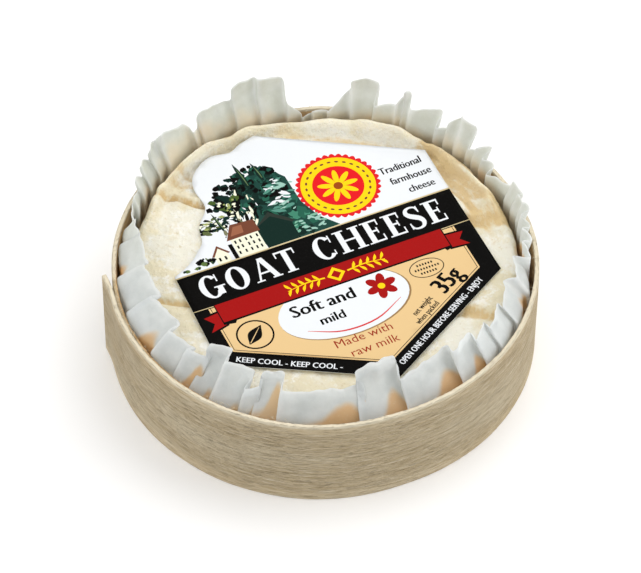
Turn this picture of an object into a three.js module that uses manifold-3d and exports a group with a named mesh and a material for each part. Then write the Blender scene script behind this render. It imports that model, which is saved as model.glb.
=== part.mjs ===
// A small soft goat's cheese in a pleated greaseproof cup, inside a round open veneer box,
// with a printed paper label lying on its top. Millimetres, +Z up, the box standing on z = 0.
// Angles are azimuths in degrees, counterclockwise seen from above, 0 along +X.
import * as THREE from "three";
import { mergeVertices } from "three/addons/utils/BufferGeometryUtils.js";
import Module from "manifold-3d";

// Box: one strip of veneer bent round a disc, its ends lapped.
const BOX_INNER_RADIUS = 33.85;
const BOX_HEIGHT = 18;
const VENEER = 0.75;
const BASE_THICKNESS = 1;
const LAP_GAP = 0.05;
const LAP_FROM = 185; // where the outer end of the strip stands
const LAP_TO = 260; // where the inner end of the strip lies hidden
const LAP_EASE = 35; // the arc in which the strip climbs over its own inner end
const END_LIFT = 0.35; // how far the outer end springs off the ply beneath it
const END_LIFT_ARC = 7;

// Clearance between any two pieces that touch in the real thing.
const FIT_GAP = 0.3;

// Paper cup
const PAPER = 0.3;
const PLEAT_DEPTH = 1.65; // from the inmost to the outmost fold, between cheese and box
const PLEATS = 44;
const COLUMNS_PER_PLEAT = 4;
const FLOOR_BEND = 2.2; // the height over which the flat floor turns up into the wall
const FLOOR_RINGS = [22, 11]; // radii at which the flat floor is divided

// The cup's torn-looking edge: azimuth, height above the mouth, lean outwards at the top.
const CRESTS = [
  [0, 3, 1.2], [10, 4, 1.2], [18, 4.4, 1.4], [25, 4, 1.4], [32, 1.5, 0.8], [36, 5.2, 1.6],
  [42, 5.5, 1.6], [45, 5, 1.6], [49, 6.2, 1.7], [52, 4, 1.4], [56, 6.2, 1.7], [62, 3.2, 1.2],
  [66, 7, 1.7], [70, 3.6, 1.3], [74, 4.6, 1.5], [78, 6.6, 1.8], [83, 7.6, 1.8], [89, 1.6, 0.8],
  [94, 1.8, 0.8], [98, 0.8, 0.6], [102, 7.4, 1.9], [109, 8.5, 2], [116, 8.4, 2],
  [122, 4.6, 1.7], [128, 6.2, 1.8], [132, 2, 1], [137, 6, 1.8], [146, 7.5, 1.8], [160, 5, 1.2],
  [176, 2, 0.3], [195, 1.6, -0.8], [215, 1.8, -1.1], [227, 2, -2.2], [240, 2.2, -2.8],
  [252, 1.6, -1.4], [260, 2.2, -2.2], [275, 2.2, -2.4], [285, 5.4, -3.2], [294, 2.2, -2],
  [308, 2, -1.4], [320, 1.5, -0.9], [335, 1.2, -0.8], [348, 1.6, 0.2],
];

// Cheese
const CHEESE_HEIGHT = 15.5;
const CHEESE_TOP_ROUND = 2.6;
const CHEESE_FOOT_ROUND = 1.6;
const GROOVE_SPACING = 21; // the marks of two wires of the draining rack
const GROOVE_OFFSET = 1.1;
const GROOVE_AZIMUTH = -3.4;
const GROOVE_RADIUS = 1.1;
const GROOVE_DEPTH = 0.55;

// Label: a hexagon turned on the cheese, with one side and corner cut to a wavy outline.
const LABEL_THICKNESS = 0.15;
const LABEL_MARGIN = 1.3; // from the cheese's side to the label's nearest corner
const LABEL_SHIFT = 1.4; // away from the front, along +Y
const LABEL_TURN = 24.5;
const WAVY_SIDE = [
  [-0.84, 0.2], [-0.72, 0.26], [-0.63, 0.34], [-0.59, 0.39], [-0.56, 0.5], [-0.47, 0.62],
  [-0.475, 0.76], [-0.45, 0.85], [-0.37, 0.925], [-0.29, 0.955], [-0.18, 0.94], [-0.1, 0.975],
  [0, 1],
]; // in shares of the label's radius, from its left side up to its top corner

const ARC_STEP = 4; // degrees between the points of a bent outline
const cupOuterRadius = BOX_INNER_RADIUS - FIT_GAP;
const cheeseRadius = cupOuterRadius - PLEAT_DEPTH - PAPER - FIT_GAP;
const cupFloorZ = BASE_THICKNESS + FIT_GAP;
const cheeseFloorZ = cupFloorZ + PAPER + FIT_GAP;
const cheeseTopZ = cheeseFloorZ + CHEESE_HEIGHT;
const labelZ = cheeseTopZ + FIT_GAP;
const labelRadius = cheeseRadius - LABEL_SHIFT - LABEL_MARGIN;
// Above this height the cup's wall may lean in over the label or out over the box's edge.
const mouthZ = Math.max(BOX_HEIGHT, labelZ + LABEL_THICKNESS);

const rad = THREE.MathUtils.degToRad;
const smooth = (t) => THREE.MathUtils.smoothstep(t, 0, 1);
const polar = (radius, azimuth) =>
  new THREE.Vector2(radius * Math.cos(rad(azimuth)), radius * Math.sin(rad(azimuth)));

function mesh(name, geometry, color, roughness) {
  const material = new THREE.MeshStandardMaterial({ color, roughness, metalness: 0 });
  const made = new THREE.Mesh(geometry, material);
  made.name = name;
  return made;
}

function extrude(shape, depth, z) {
  const geometry = new THREE.ExtrudeGeometry(shape, { depth, bevelEnabled: false });
  return geometry.translate(0, 0, z);
}

// How far the strip's inner face stands outside the box's inner radius, at an angle counted
// along the strip from its outer end.
function stripLift(along) {
  const onTop = 1 - smooth((along - (LAP_TO - LAP_FROM)) / LAP_EASE);
  const end = Math.max(0, 1 - along / END_LIFT_ARC);
  return (VENEER + LAP_GAP) * onTop + END_LIFT * end * end;
}

function boxBand() {
  const length = 360 + LAP_TO - LAP_FROM;
  const steps = Math.round(length / ARC_STEP);
  const inner = [];
  const outer = [];
  for (let i = 0; i <= steps; i++) {
    const along = (length * i) / steps;
    const radius = BOX_INNER_RADIUS + stripLift(along);
    inner.push(polar(radius, LAP_FROM + along));
    outer.push(polar(radius + VENEER, LAP_FROM + along));
  }
  return extrude(new THREE.Shape([...outer, ...inner.reverse()]), BOX_HEIGHT, 0);
}

function boxBase() {
  const radius = BOX_INNER_RADIUS - FIT_GAP;
  const disc = new THREE.CylinderGeometry(radius, radius, BASE_THICKNESS, 360 / ARC_STEP);
  return disc.rotateX(Math.PI / 2).translate(0, 0, BASE_THICKNESS / 2);
}

// Height above the mouth and outward lean of the cup's edge at an azimuth, eased from one
// crest to the next.
function crestAt(azimuth) {
  const next = CRESTS.findIndex(([at]) => at > azimuth);
  const [toAt, toRise, toLean] = next < 0 ? [360, ...CRESTS[0].slice(1)] : CRESTS[next];
  const [fromAt, fromRise, fromLean] = CRESTS.at(next < 0 ? -1 : next - 1);
  const t = smooth((azimuth - fromAt) / (toAt - fromAt));
  return [THREE.MathUtils.lerp(fromRise, toRise, t), THREE.MathUtils.lerp(fromLean, toLean, t)];
}

// A closed solid through rings of points, each ring one wall level, its ends closed to a centre.
function ringSolid(rings, startCentre, endCentre) {
  const count = rings[0].length;
  const points = [...rings.flat(), startCentre, endCentre];
  const startIndex = points.length - 2;
  const endIndex = points.length - 1;
  const lastRing = (rings.length - 1) * count;
  const triangles = [];
  for (let i = 0; i < count; i++) {
    const j = (i + 1) % count;
    triangles.push(startIndex, j, i, endIndex, lastRing + i, lastRing + j);
    for (let level = 0; level < lastRing; level += count) {
      triangles.push(level + i, level + j, level + count + j);
      triangles.push(level + i, level + count + j, level + count + i);
    }
  }
  const geometry = new THREE.BufferGeometry().setFromPoints(points);
  return geometry.setIndex(triangles);
}

function paperCup() {
  const columns = PLEATS * COLUMNS_PER_PLEAT;
  const middle = cupOuterRadius - PAPER / 2 - PLEAT_DEPTH / 2;
  // One level of the wall: its height, how deep the pleats are there, and how far it leans.
  const level = (z, pleat, rise, lean, side) =>
    Array.from({ length: columns }, (_, i) => {
      const azimuth = (360 * i) / columns;
      const [crest, out] = crestAt(azimuth);
      const fold = Math.cos(rad(azimuth * PLEATS)) * (PLEAT_DEPTH / 2) * pleat;
      const flat = polar(middle + fold + out * lean + (side * PAPER) / 2, azimuth);
      return new THREE.Vector3(flat.x, flat.y, z + crest * rise);
    });
  const floorTop = cupFloorZ + PAPER;
  // From the floor's bend up: pleats at full depth, then the edge's rise and lean in two steps.
  const wall = (side) => [
    level(cupFloorZ + FLOOR_BEND, 0.8, 0, 0, side),
    level((cupFloorZ + mouthZ) / 2, 1, 0, 0, side),
    level(mouthZ, 1, 0, 0, side),
    level(mouthZ, 1, 0.5, 0.45, side),
    level(mouthZ, 1, 1, 1, side),
  ];
  const floor = (z) =>
    FLOOR_RINGS.map((radius) =>
      Array.from({ length: columns }, (_, i) => {
        const flat = polar(radius, (360 * i) / columns);
        return new THREE.Vector3(flat.x, flat.y, z);
      }),
    );
  const rings = [
    ...floor(cupFloorZ).reverse(),
    level(cupFloorZ, 0.3, 0, 0, 1),
    ...wall(1),
    ...wall(-1).reverse(),
    level(floorTop, 0.3, 0, 0, -1),
    ...floor(floorTop),
  ];
  const under = new THREE.Vector3(0, 0, cupFloorZ);
  return ringSolid(rings, under, new THREE.Vector3(0, 0, floorTop));
}

const wasm = await Module();
wasm.setup();

function toSolid(geometry) {
  const bare = geometry.clone().deleteAttribute("normal").deleteAttribute("uv");
  const merged = mergeVertices(bare);
  const vertProperties = merged.attributes.position.array;
  const triVerts = new Uint32Array(merged.index.array);
  return new wasm.Manifold(new wasm.Mesh({ numProp: 3, vertProperties, triVerts }));
}

function fromSolid(solid) {
  const { vertProperties, triVerts } = solid.getMesh();
  const geometry = new THREE.BufferGeometry();
  geometry.setAttribute("position", new THREE.BufferAttribute(vertProperties, 3));
  return geometry.setIndex(new THREE.BufferAttribute(triVerts, 1));
}

// A quarter round of the cheese's edge, from one angle to another, about a centre.
function quarter(centreR, centreZ, radius, from) {
  const steps = 5;
  return Array.from({ length: steps + 1 }, (_, i) => {
    const p = polar(radius, from + (90 * i) / steps);
    return new THREE.Vector2(centreR + p.x, centreZ + p.y);
  });
}

function cheese() {
  const foot = Math.min(CHEESE_FOOT_ROUND, CHEESE_HEIGHT / 3);
  const top = Math.min(CHEESE_TOP_ROUND, CHEESE_HEIGHT / 3);
  const profile = [
    new THREE.Vector2(0, cheeseFloorZ),
    ...quarter(cheeseRadius - foot, cheeseFloorZ + foot, foot, -90),
    ...quarter(cheeseRadius - top, cheeseTopZ - top, top, 0),
    new THREE.Vector2(0, cheeseTopZ),
  ];
  const turned = new THREE.LatheGeometry(profile, 360 / ARC_STEP);
  let solid = toSolid(turned.rotateX(Math.PI / 2));
  for (const side of [-1, 1]) {
    const wire = new THREE.CylinderGeometry(GROOVE_RADIUS, GROOVE_RADIUS, 3 * cheeseRadius, 12);
    wire.rotateZ(Math.PI / 2);
    wire.translate(0, GROOVE_OFFSET + (side * GROOVE_SPACING) / 2, 0);
    wire.rotateZ(rad(GROOVE_AZIMUTH));
    wire.translate(0, 0, cheeseTopZ + GROOVE_RADIUS - GROOVE_DEPTH);
    solid = solid.subtract(toSolid(wire));
  }
  return fromSolid(solid);
}

function label() {
  const corner = (k) => polar(labelRadius, 90 - 60 * k);
  const wavy = WAVY_SIDE.map(([u, v]) => new THREE.Vector2(u * labelRadius, v * labelRadius));
  const shape = new THREE.Shape([corner(0), corner(1), corner(2), corner(3), corner(4)]);
  shape.lineTo(wavy[0].x, wavy[0].y);
  shape.splineThru(wavy.slice(1));
  return extrude(new THREE.Shape(shape.getPoints(3)), LABEL_THICKNESS, 0)
    .rotateZ(rad(LABEL_TURN))
    .translate(0, LABEL_SHIFT, labelZ);
}

const group = new THREE.Group();
group.add(
  mesh("box_band", boxBand(), 0xc8b890, 0.75),
  mesh("box_base", boxBase(), 0xc8b890, 0.75),
  mesh("paper_cup", paperCup(), 0xdcdcd2, 0.6),
  mesh("cheese", cheese(), 0xe8dfc4, 0.5),
  mesh("label", label(), 0xe6d9b8, 0.45),
);

// The lap and the cup's edge aren't symmetric, so the whole is set back to the middle.
const extent = new THREE.Box3().setFromObject(group).getCenter(new THREE.Vector3());
group.position.set(-extent.x, -extent.y, 0);

export default group;
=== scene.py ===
# %% [markdown]
# # A small soft cheese in its veneer box
# The object is a round of soft cheese in a crimped paper cup, standing in an open box bent from
# thin poplar veneer, with a printed label lying on the cheese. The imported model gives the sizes
# and places. Each piece is made again here with the surface of the real thing, in this order:
# camera and light, box, cheese, paper cup, label.

# %% Load the frame
import math

import bpy
import numpy as np
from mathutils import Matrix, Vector, noise
from mathutils.geometry import delaunay_2d_cdt


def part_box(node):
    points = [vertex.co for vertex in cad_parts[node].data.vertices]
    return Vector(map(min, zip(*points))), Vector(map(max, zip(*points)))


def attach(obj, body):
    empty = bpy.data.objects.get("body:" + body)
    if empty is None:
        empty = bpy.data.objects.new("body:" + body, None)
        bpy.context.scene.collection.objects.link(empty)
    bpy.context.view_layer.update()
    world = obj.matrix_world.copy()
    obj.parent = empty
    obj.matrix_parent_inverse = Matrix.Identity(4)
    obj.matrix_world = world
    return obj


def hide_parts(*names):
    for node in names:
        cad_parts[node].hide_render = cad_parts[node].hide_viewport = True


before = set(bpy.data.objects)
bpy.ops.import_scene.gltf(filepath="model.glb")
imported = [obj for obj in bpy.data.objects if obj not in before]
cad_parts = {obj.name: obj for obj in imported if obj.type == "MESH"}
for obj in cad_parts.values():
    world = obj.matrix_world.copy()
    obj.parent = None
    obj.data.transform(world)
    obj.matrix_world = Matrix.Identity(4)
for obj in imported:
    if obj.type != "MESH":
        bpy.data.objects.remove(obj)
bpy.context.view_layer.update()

# %% [markdown]
# Everything below is modelled in millimetres about the middle of the box's foot, because that
# is how the box is drawn. One helper turns such points into metres in the frame. The driving
# sizes are read from the frame, so a changed model carries through.

# %% Sizes from the frame, in millimetres
MM = 0.001
FIT_GAP = 0.3  # the clearance that the frame keeps between touching pieces
base_low, base_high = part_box("box_base")
band_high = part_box("box_band")[1]
cheese_low, cheese_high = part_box("cheese")
middle = (base_low + base_high) / 2
BOX_INNER = (base_high.x - base_low.x) / 2 / MM + FIT_GAP
BOX_HEIGHT = band_high.z / MM
BASE_TOP = base_high.z / MM
CHEESE_RADIUS = (cheese_high.x - cheese_low.x) / 2 / MM
CHEESE_FOOT, CHEESE_TOP = cheese_low.z / MM, cheese_high.z / MM
print(f"box {BOX_INNER:.2f} mm inside radius, {BOX_HEIGHT:.1f} mm high")
print(f"cheese {CHEESE_RADIUS:.2f} mm radius, from {CHEESE_FOOT:.2f} to {CHEESE_TOP:.2f} mm")


def placed(points):
    """Points in millimetres from the middle of the box's foot, as metres in the frame."""
    return np.asarray(points, float) * MM + [middle.x, middle.y, 0]


def smooth(value, low, high):
    """0 below low, 1 above high, and an even curve between them. low may be above high."""
    t = np.clip((np.asarray(value, float) - low) / (high - low), 0, 1)
    return t * t * (3 - 2 * t)


def grain(points, size, seed=0):
    """Smooth noise about 0 at each point, with humps about size millimetres across."""
    shift = Vector((seed * 7.3, seed * 3.1, seed * 5.7))
    return np.array([noise.noise(Vector(p) / size + shift) for p in points])


# %% [markdown]
# ## Node trees written as sums
# Shaders and Geometry Nodes are both trees of nodes. Built by hand in Python, each sum takes
# four or five lines. A small class that wraps an output socket and knows + - * / lets the
# same tree be written as one expression, and one method adds any other node.

# %% Wires and trees
class Wire:
    """An output socket of a node tree. Arithmetic on it adds Math nodes."""

    def __init__(self, tree, node, out=0):
        self.tree, self.node = tree, node
        self.socket = node.outputs[out] if node.outputs else None

    def __getitem__(self, out):
        return Wire(self.tree, self.node, out)

    def calc(self, operation, *values):
        return self.tree.node("ShaderNodeMath", {"operation": operation}, dict(enumerate(values)))

    def __add__(self, other):
        return self.calc("ADD", self, other)

    def __sub__(self, other):
        return self.calc("SUBTRACT", self, other)

    def __rsub__(self, other):
        return self.calc("SUBTRACT", other, self)

    def __mul__(self, other):
        return self.calc("MULTIPLY", self, other)

    def __truediv__(self, other):
        return self.calc("DIVIDE", self, other)

    def between(self, low, high):
        """0 at low, 1 at high, smooth between."""
        setting = {"interpolation_type": "SMOOTHSTEP"}
        return self.tree.node("ShaderNodeMapRange", setting, {0: self, 1: low, 2: high})


class Tree:
    """A node tree being made, for a material or for Geometry Nodes."""

    def __init__(self, tree):
        self.tree = tree

    def node(self, kind, settings=None, inputs=None):
        made = self.tree.nodes.new(kind)
        for name, value in (settings or {}).items():
            if name == "stops":
                ramp = made.color_ramp.elements
                for place, colour in value[2:]:
                    ramp.new(place)
                for stop, (place, colour) in zip(ramp, value):
                    stop.position, stop.color = place, colour
            else:
                setattr(made, name, value)
        for name, value in (inputs or {}).items():
            if isinstance(value, Wire):
                self.tree.links.new(value.socket, made.inputs[name])
            else:
                made.inputs[name].default_value = value
        return Wire(self, made)

    def vector(self, operation, *values):
        """Vector Math, for places and directions."""
        return self.node("ShaderNodeVectorMath", {"operation": operation}, dict(enumerate(values)))

    def xyz(self, x=0.0, y=0.0, z=0.0):
        return self.node("ShaderNodeCombineXYZ", None, {0: x, 1: y, 2: z})

    def mix(self, a, b, share):
        """Colour a turning to colour b as share goes from 0 to 1."""
        return self.node("ShaderNodeMix", {"data_type": "RGBA"}, {0: share, 6: a, 7: b})[2]

    def noise(self, place, scale, detail=2.0, rough=0.5):
        inputs = {"Vector": place, "Scale": scale, "Detail": detail, "Roughness": rough}
        return self.node("ShaderNodeTexNoise", None, inputs)


def rgb(red, green, blue):
    """A colour given as it looks on a screen, 0 to 255, as the linear value that shaders use."""
    parts = [c / 255 for c in (red, green, blue)]
    return [c / 12.92 if c < 0.04045 else ((c + 0.055) / 1.055) ** 2.4 for c in parts] + [1.0]


class Finish(Tree):
    """A material being made. Its places are in millimetres from the middle of the box's foot."""

    def __init__(self, name):
        self.material = bpy.data.materials.new(name)
        self.material.use_nodes = True
        super().__init__(self.material.node_tree)
        self.tree.nodes.clear()
        where = self.node("ShaderNodeTexCoord")["Object"]
        inputs = {"Location": [-middle.x / MM, -middle.y / MM, 0], "Scale": [1 / MM] * 3}
        self.place = self.node("ShaderNodeMapping", None, {"Vector": where, **inputs})
        parts = self.node("ShaderNodeSeparateXYZ", None, {0: self.place})
        self.x, self.y, self.z = parts[0], parts[1], parts[2]

    def around(self):
        """The angle round the box's middle, and the distance from it in millimetres."""
        radius = self.vector("LENGTH", self.xyz(self.x, self.y))["Value"]
        angle = self.x.calc("ARCTAN2", self.y, self.x)
        return angle, radius

    def stored(self, name, out="Fac"):
        """What note() left on the mesh under a name."""
        return self.node("ShaderNodeAttribute", {"attribute_name": name})[out]

    def bump(self, height, distance, strength=1.0):
        inputs = {"Height": height, "Distance": distance * MM, "Strength": strength}
        return self.node("ShaderNodeBump", None, inputs)

    def surface(self, inputs):
        return self.node("ShaderNodeBsdfPrincipled", None, inputs)

    def done(self, shader):
        self.node("ShaderNodeOutputMaterial", None, {"Surface": shader})
        print(f"finish {self.material.name}: {len(self.tree.nodes)} nodes")
        return self.material


# %% [markdown]
# ## Camera and light
# A long lens from 48.5 degrees above the table looks down on the box. The light is a large
# soft lamp above and behind on the right, a weaker one on the left, a small low one on the
# right, and pale walls all round, so that the shadows stay faint on a plain white floor.

# %% Camera, lamps and floor
CAMERA_ELEVATION = math.radians(48.54)
CAMERA_DISTANCE = 700
LENS, SENSOR = 240.8, 36
AIM = [-0.71, 0.79, 10.69]
LAMP_AIM = [0, 0, 10]
FLOOR_SIZE = 2000

camera_data = bpy.data.cameras.new("camera")
camera_data.lens, camera_data.sensor_width = LENS, SENSOR
camera_data.clip_start, camera_data.clip_end = 0.05, 5
camera = bpy.data.objects.new("camera", camera_data)
bpy.context.scene.collection.objects.link(camera)
back = np.array([0, -math.cos(CAMERA_ELEVATION), math.sin(CAMERA_ELEVATION)])
camera.location = placed(AIM + back * CAMERA_DISTANCE)
camera.rotation_euler = (math.pi / 2 - CAMERA_ELEVATION, 0, 0)
bpy.context.scene.camera = camera


def lamp(name, power, size, place, colour=(1, 1, 1)):
    """A square lamp that faces the box from a place given in millimetres."""
    data = bpy.data.lights.new(name, "AREA")
    data.energy, data.size, data.color = power, size * MM, colour
    made = bpy.data.objects.new(name, data)
    made.location = placed(place)
    towards = Vector(placed(LAMP_AIM)) - made.location
    made.rotation_euler = towards.to_track_quat("-Z", "Y").to_euler()
    bpy.context.scene.collection.objects.link(made)


lamp("key_lamp", 1.65, 620, [260, 220, 470], (1, 0.99, 0.975))
lamp("left_lamp", 0.95, 480, [-420, -120, 360])
lamp("right_lamp", 0.5, 260, [430, -60, 130])
world = bpy.data.worlds.new("studio")
world.use_nodes = True
sky = world.node_tree.nodes["Background"]
sky.inputs["Color"].default_value = (1, 1, 1, 1)
sky.inputs["Strength"].default_value = 0.77
bpy.context.scene.world = world
bpy.context.scene.view_settings.view_transform = "Standard"

table_finish = Finish("white_table")
paint = {"Base Color": rgb(254, 254, 254), "Roughness": 0.6}
corners = [[x * FLOOR_SIZE, y * FLOOR_SIZE, 0] for x, y in ((-1, -1), (1, -1), (1, 1), (-1, 1))]
floor_mesh = bpy.data.meshes.new("floor")
floor_mesh.from_pydata(placed(corners), [], [(0, 1, 2, 3)])
floor_mesh.materials.append(table_finish.done(table_finish.surface(paint)))
floor = bpy.data.objects.new("floor", floor_mesh)
bpy.context.scene.collection.objects.link(floor)
print("camera, three lamps and floor made")

# %% [markdown]
# ## Helpers for meshes and for Geometry Nodes
# Two helpers serve every piece. One makes an object from points and faces. The other builds
# a Geometry Nodes tree, runs it on an object, and leaves a plain mesh behind.

# %% Making objects
def new_object(name, data):
    made = bpy.data.objects.new(name, data)
    bpy.context.scene.collection.objects.link(made)
    return made


def mesh_piece(name, points, faces, *materials):
    """A smooth-shaded object from points in millimetres."""
    mesh = bpy.data.meshes.new(name)
    mesh.from_pydata(placed(points), [], faces)
    mesh.shade_smooth()
    for material in materials:
        mesh.materials.append(material)
    mesh.validate()
    return new_object(name, mesh)


def grid_faces(rows, columns):
    """Quads over rows of points that each close on themselves, row by row."""
    faces = []
    for row in range(rows - 1):
        for i in range(columns):
            j = (i + 1) % columns
            low, high = row * columns, (row + 1) * columns
            faces.append((low + i, low + j, high + j, high + i))
    return faces


def note(obj, name, values, kind="FLOAT", domain="POINT"):
    """Stores one value for each point or corner, for a material to read."""
    attribute = obj.data.attributes.new(name, kind, domain)
    key = "color" if kind == "FLOAT_COLOR" else "value"
    attribute.data.foreach_set(key, np.asarray(values, np.float32).ravel())


class Recipe(Tree):
    """A Geometry Nodes tree with named inputs."""

    def __init__(self, name):
        super().__init__(bpy.data.node_groups.new(name, "GeometryNodeTree"))
        self.inputs = self.tree.nodes.new("NodeGroupInput")
        self.given("Geometry", "NodeSocketGeometry")
        self.tree.interface.new_socket("Geometry", in_out="OUTPUT",
                                       socket_type="NodeSocketGeometry")

    def given(self, name, kind="NodeSocketFloat"):
        """A named input."""
        self.tree.interface.new_socket(name, in_out="INPUT", socket_type=kind)
        return Wire(self, self.inputs, name)

    def source(self):
        """The geometry that the tree is run on."""
        return Wire(self, self.inputs, "Geometry")

    def in_mm(self, where):
        return self.vector("MULTIPLY", where, (1 / MM,) * 3)

    def scaled(self, direction, amount):
        """A direction made an amount long."""
        made = self.vector("SCALE", direction)
        self.tree.links.new(amount.socket, made.node.inputs["Scale"])
        return made

    def moved(self, geometry, **how):
        """The geometry with its points at a Position, or shifted by an Offset."""
        return self.node("GeometryNodeSetPosition", None, {"Geometry": geometry, **how})

    def finish(self, geometry, material):
        """Real geometry with its material, at the tree's end."""
        real = self.node("GeometryNodeRealizeInstances", None, {0: geometry})
        inputs = {"Geometry": real, "Material": material}
        painted = self.node("GeometryNodeSetMaterial", None, inputs)
        self.node("NodeGroupOutput", None, {"Geometry": painted})
        return self

    def run(self, source, name, **values):
        """The tree's result on an object, as a new plain object. The source is removed."""
        modifier = source.modifiers.new("recipe", "NODES")
        modifier.node_group = self.tree
        for socket in self.tree.interface.items_tree:
            if socket.in_out == "INPUT" and socket.name in values:
                modifier[socket.identifier] = values[socket.name]
        source.update_tag()
        graph = bpy.context.evaluated_depsgraph_get()
        graph.update()
        mesh = bpy.data.meshes.new_from_object(source.evaluated_get(graph))
        mesh.name = name
        bpy.data.objects.remove(source)
        print(f"{name}: {len(mesh.polygons)} faces")
        return new_object(name, mesh)

# %% [markdown]
# ## Poplar veneer
# The box is peeled poplar: pale, with fine broken streaks that run along the strip and a cut
# rim of pale torn fibre. An image of wood would stretch at the bend, so the streaks are noise
# that is drawn out along the wall. Inside, light bounces between wood and paper, and the wood
# there is painted a warmer, deeper tone as painted bounce light and shade.

# %% The veneer's finish
def veneer(name, bent):
    """Poplar veneer. Bent, its grain follows the box's wall; flat, it runs along X.

    The factors on along and across are marks in each millimetre, so a small one draws a mark out.
    """
    f = Finish(name)
    angle, radius = f.around()
    if bent:
        along, across = angle * BOX_INNER, f.z + f.noise(f.place, 0.04) * 1.0
    else:
        along, across = f.x, f.y + f.noise(f.place, 0.05) * 1.6
    streaks = f.noise(f.xyz(along * 0.14, across * 2.4, radius * 0.2), 1, 4, 0.65)
    fibres = f.noise(f.xyz(along * 0.35, across * 6.4, radius), 1, 3, 0.75)
    patches = f.noise(f.xyz(along * 0.03, across * 0.16, 4.0), 1, 2)
    tone = streaks * 0.35 + fibres * 0.65
    ramp = [(0.32, rgb(152, 130, 96)), (0.44, rgb(190, 170, 134)), (0.56, rgb(207, 190, 158)),
            (0.68, rgb(233, 223, 200))]
    wood = f.node("ShaderNodeValToRGB", {"stops": ramp}, {"Fac": tone})
    wood = f.mix(wood, rgb(226, 216, 190), patches.between(0.4, 0.75) * 0.3)
    dashes = f.noise(f.xyz(along * 0.4, across * 7.0, radius * 2), 1, 3, 0.7).between(0.57, 0.68)
    wood = f.mix(wood, rgb(140, 116, 82), dashes * 0.42)
    if bent:
        # Painted bounce light and shade: the inner face of the wall is tinted warmer and deeper.
        inside = radius.between(BOX_INNER + 0.35, BOX_INNER + 0.05)
        wood = f.mix(wood, rgb(226, 176, 112), inside * 0.55)
        rim = (f.z + fibres * 0.5).between(BOX_HEIGHT - 0.35, BOX_HEIGHT + 0.1)
        wood = f.mix(wood, rgb(224, 214, 190), rim * 0.85)
    height = streaks * 0.3 + fibres - dashes * 0.3
    bump = f.bump(height, 0.3, 1.0)
    paint = {"Base Color": wood, "Roughness": 0.72, "Normal": bump, "Specular IOR Level": 0.3}
    return f.done(f.surface(paint))


band_finish = veneer("bent_veneer", True)
disc_finish = veneer("veneer_disc", False)

# %% [markdown]
# ## The bent strip
# The band is one strip of veneer wound round the disc until its ends lap. It could be a cut
# cylinder, but then the lap would have to be added. A path that climbs over its own start,
# swept with the strip's section by Geometry Nodes, gives both. The same tree makes the wall
# ripple a little and leaves the knife-cut rim uneven.

# %% The strip's path
VENEER = 0.75
LAP_GAP = 0.05
LAP_FROM, LAP_TO, LAP_EASE = 185, 260, 35
END_LIFT, END_LIFT_ARC = 0.85, 8
STRIP_ANGLE = 360 + LAP_TO - LAP_FROM
LAP_SINK = 1.1  # how far the covered ply's rim is cut back below the outer one
SINK_FROM, SINK_TO = 350, 372  # degrees along the strip over which it drops


def strip_radius(along):
    """The strip's inner face, at degrees along it from its outer end."""
    on_top = 1 - smooth(along, LAP_TO - LAP_FROM, LAP_TO - LAP_FROM + LAP_EASE)
    end = np.maximum(0, 1 - along / END_LIFT_ARC)
    return BOX_INNER + (VENEER + LAP_GAP) * on_top + END_LIFT * end * end


def ring_points(radius, azimuth, z):
    """Points at radii, azimuths in degrees and heights."""
    a = np.radians(azimuth)
    return np.stack(np.broadcast_arrays(radius * np.cos(a), radius * np.sin(a), z), -1)


def path_object(name, points):
    """An open curve of straight steps through points in millimetres."""
    curve = bpy.data.curves.new(name, "CURVE")
    curve.dimensions, curve.twist_mode = "3D", "Z_UP"
    spline = curve.splines.new("POLY")
    spline.points.add(len(points) - 1)
    spline.points.foreach_set("co", np.c_[placed(points), np.ones(len(points))].ravel())
    return new_object(name, curve)


strip_along = np.linspace(0, STRIP_ANGLE, STRIP_ANGLE)
middle_ply = strip_radius(strip_along) + VENEER / 2
strip_sink = -LAP_SINK * smooth(strip_along, SINK_FROM, SINK_TO)
strip_path = path_object("strip_path",
                         ring_points(middle_ply, LAP_FROM + strip_along, strip_sink))
print(f"strip {math.radians(STRIP_ANGLE) * BOX_INNER:.0f} mm long")

# %% [markdown]
# The section is a narrow rectangle with its corners just broken. Swept along the path it is a
# bare strip. The tree then ripples the wall, wears the rim, and keeps the foot on the table.

# %% Sweep the strip
sweep = Recipe("bent_strip")
veneer_in, height_in = sweep.given("Veneer"), sweep.given("Height")
ripple_in, rim_in = sweep.given("Ripple"), sweep.given("Rim wear")
section = sweep.node("GeometryNodeCurvePrimitiveQuadrilateral", None,
                     {"Width": veneer_in, "Height": height_in})
section = sweep.node("GeometryNodeSubdivideCurve", None, {"Curve": section, "Cuts": 7})
round_off = {"Curve": section, "Radius": veneer_in * 0.2, "Count": 2}
section = sweep.node("GeometryNodeFilletCurve", {"mode": "POLY"}, round_off)
swept = sweep.node("GeometryNodeCurveToMesh", None,
                   {"Curve": sweep.source(), "Profile Curve": section, "Fill Caps": True})
where = sweep.node("GeometryNodeInputPosition")
mm_place = sweep.in_mm(where)
outwards = sweep.vector("NORMALIZE", sweep.vector("MULTIPLY", where, (1, 1, 0)))
wall_ripple = (sweep.noise(mm_place, 0.045, 1) - 0.5) * ripple_in
top = sweep.node("ShaderNodeSeparateXYZ", None, {0: where})[2] / height_in + 0.5
wear = (sweep.noise(mm_place, 0.22, 3, 0.6) - 0.5) * rim_in * top
shift = sweep.scaled(outwards, wall_ripple)
lift = sweep.xyz(0.0, 0.0, wear + height_in * 0.5)
moved = sweep.moved(swept, Offset=sweep.vector("ADD", shift, lift))
spot = sweep.node("ShaderNodeSeparateXYZ", None, {0: sweep.node("GeometryNodeInputPosition")})
foot = sweep.xyz(spot[0], spot[1], spot[2].calc("MAXIMUM", spot[2], 0.0))
sweep.finish(sweep.moved(moved, Position=foot), band_finish)
band = sweep.run(strip_path, "veneer_band", **{
    "Veneer": VENEER * MM, "Height": BOX_HEIGHT * MM, "Ripple": 0.5 * MM, "Rim wear": 0.5 * MM})

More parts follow.
